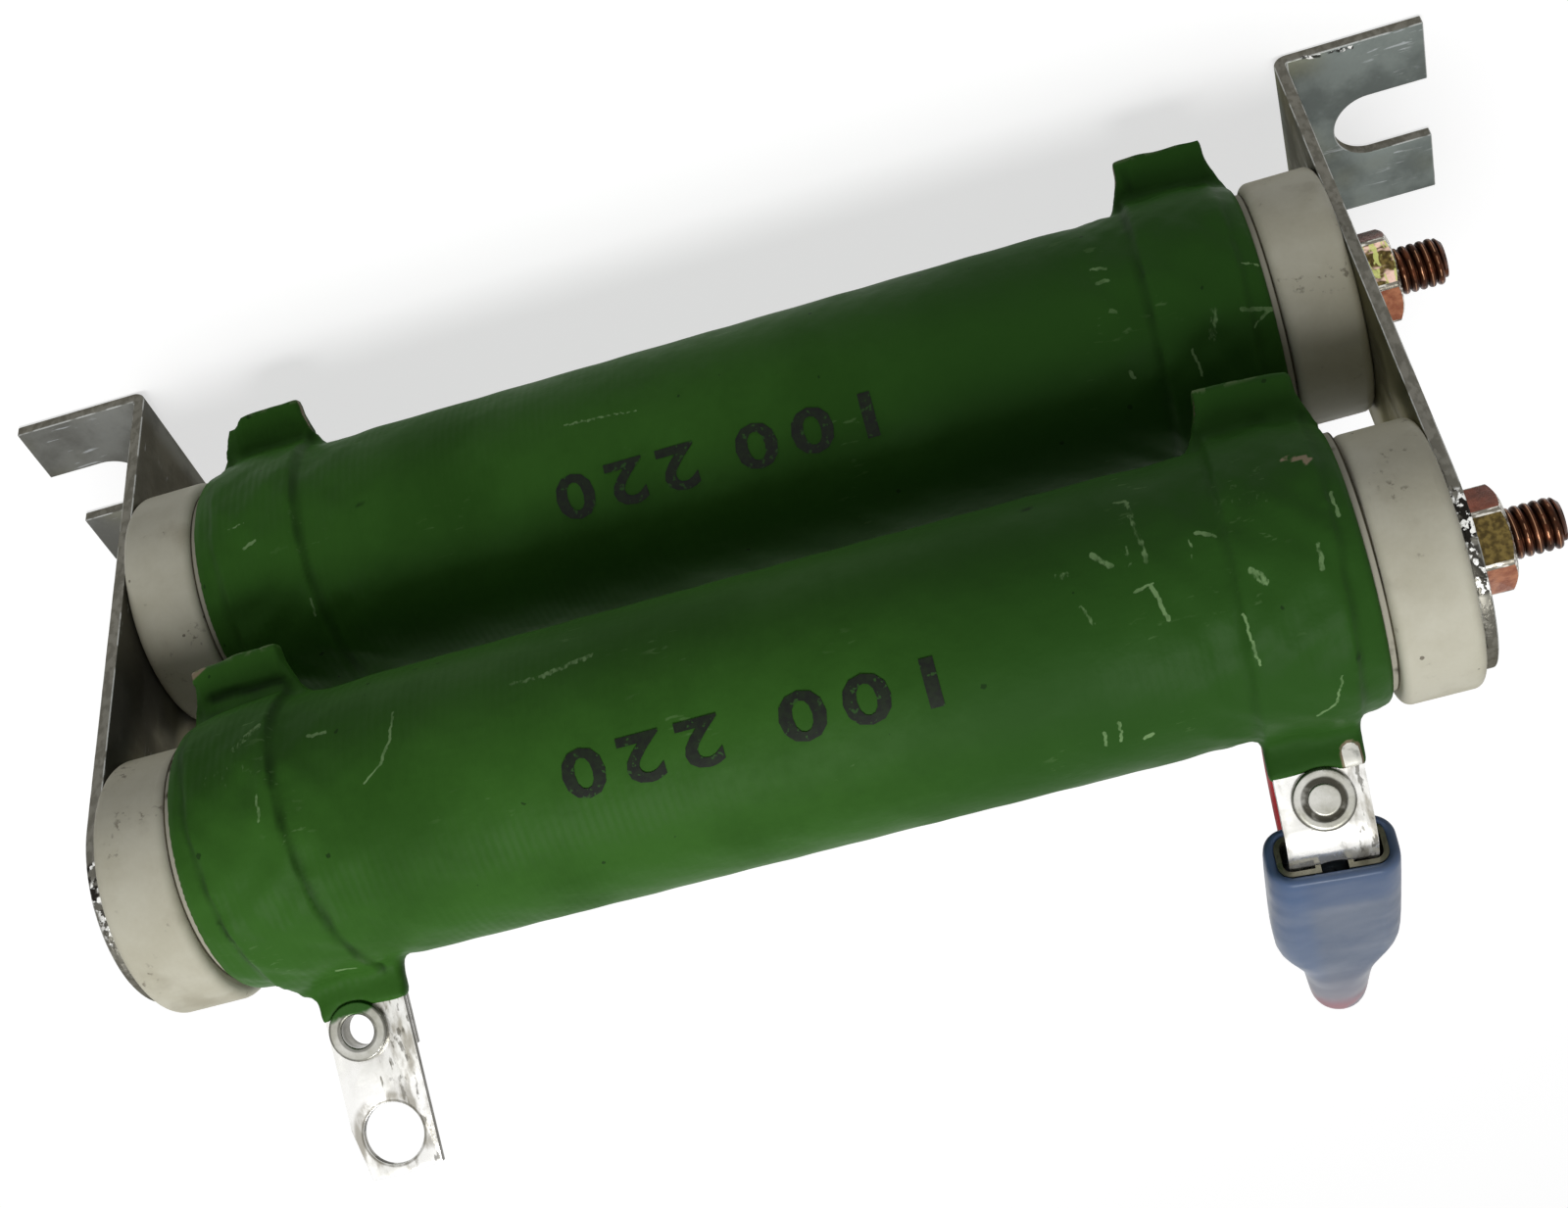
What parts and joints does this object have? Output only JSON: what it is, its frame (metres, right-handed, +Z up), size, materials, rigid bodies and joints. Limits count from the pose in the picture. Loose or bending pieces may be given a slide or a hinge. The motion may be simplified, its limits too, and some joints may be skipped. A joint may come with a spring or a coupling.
{
  "type": "tubular braking resistor",
  "caption": "Twin wirewound braking resistor: coated ceramic tubes bolted between slotted foot brackets, with solder lugs and a booted jumper lead.",
  "frame": {"origin": "on the mounting plane, midway between the two brackets and on the line of their foot slots", "axes": "+X along the tubes towards the end with the free lugs, +Z up from the mounting plane, +Y towards the side that the lugs lean to"},
  "size_m": [0.127, 0.0616, 0.0687],
  "materials": {
    "bracket_zinc": "zinc plated, satin",
    "bolt_steel": "satin, browned",
    "nut_steel": "yellow passivated",
    "cap_ceramic": "matt",
    "tube_ceramic": "matt",
    "resistance_wire": "satin",
    "green_coating": "satin",
    "tinned_strip": "bright tinned",
    "tinned_rivet": "bright tinned",
    "terminal_tin": "tinned",
    "boot_plastic": "translucent, soft",
    "lead_insulation": "smooth"
  },
  "bodies": {
    "root": {"left_bracket": "bracket_zinc", "right_bracket": "bracket_zinc", "jumper_lead": "lead_insulation", "upper_through_bolt": "bolt_steel", "upper_nut": "nut_steel", "upper_left_end_cap": "cap_ceramic", "upper_right_end_cap": "cap_ceramic", "upper_ceramic_tube": "tube_ceramic", "upper_winding": "resistance_wire", "upper_coating": "green_coating", "upper_push_on_terminal": "terminal_tin", "upper_boot": "boot_plastic", "upper_left_eyelet": "tinned_rivet", "upper_right_rivet": "tinned_rivet", "upper_left_terminal_strip": "tinned_strip", "upper_right_terminal_strip": "tinned_strip", "lower_through_bolt": "bolt_steel", "lower_nut": "nut_steel", "lower_left_end_cap": "cap_ceramic", "lower_right_end_cap": "cap_ceramic", "lower_ceramic_tube": "tube_ceramic", "lower_winding": "resistance_wire", "lower_coating": "green_coating", "lower_push_on_terminal": "terminal_tin", "lower_boot": "boot_plastic", "lower_left_eyelet": "tinned_rivet", "lower_right_rivet": "tinned_rivet", "lower_left_terminal_strip": "tinned_strip", "lower_right_terminal_strip": "tinned_strip"}
  },
  "joints": []
}
